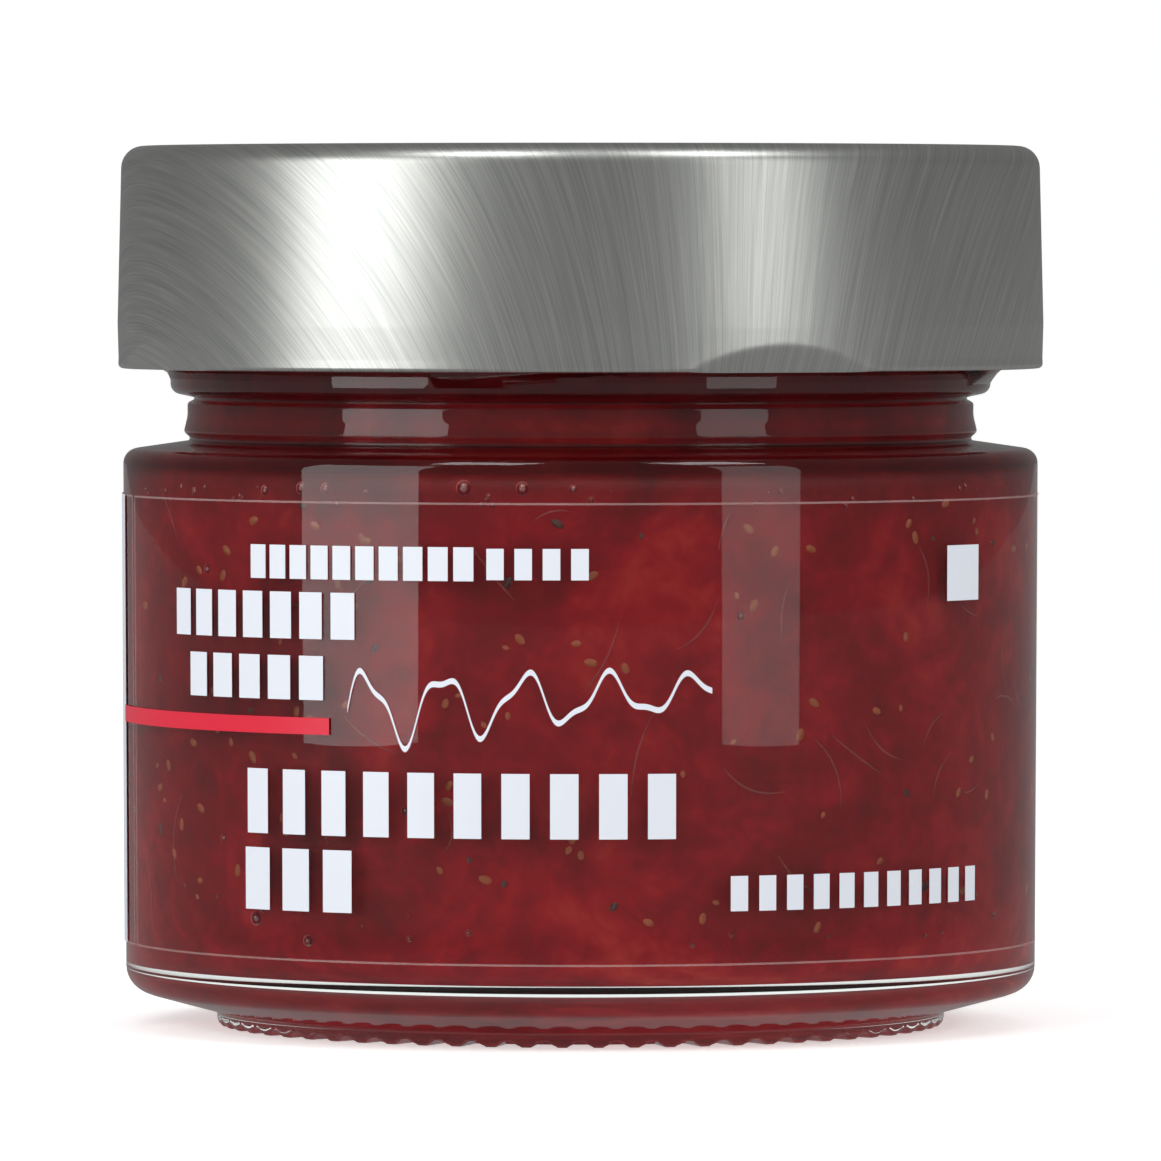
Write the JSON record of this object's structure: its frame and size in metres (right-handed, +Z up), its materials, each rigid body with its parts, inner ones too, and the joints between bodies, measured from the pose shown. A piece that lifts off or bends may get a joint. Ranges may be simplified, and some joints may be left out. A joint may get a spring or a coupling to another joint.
{
  "type": "jam jar",
  "caption": "Squat round glass jar of red fruit jam, with a brushed metal twist-off cap, a clear wrap label and a ribbed foot.",
  "frame": {"origin": "centre of the foot's bearing face, on the jar's axis", "axes": "+Z up along the jar's axis, -Y towards the printed front, +X to the right of the front"},
  "size_m": [0.0734, 0.0734, 0.0697],
  "materials": {
    "glass": "clear moulded soda-lime glass with a faint green tint in its thick base",
    "cap_metal": "tinplate with coarse curved brushing under clear lacquer",
    "jam": "glossy deep red set fruit jam with seeds and small bubbles",
    "label_film": "clear film with plain white and red printed shapes"
  },
  "bodies": {
    "root": {"glass_jar": "glass", "lid": "cap_metal", "jam": "jam", "label_film": "label_film"}
  },
  "joints": []
}
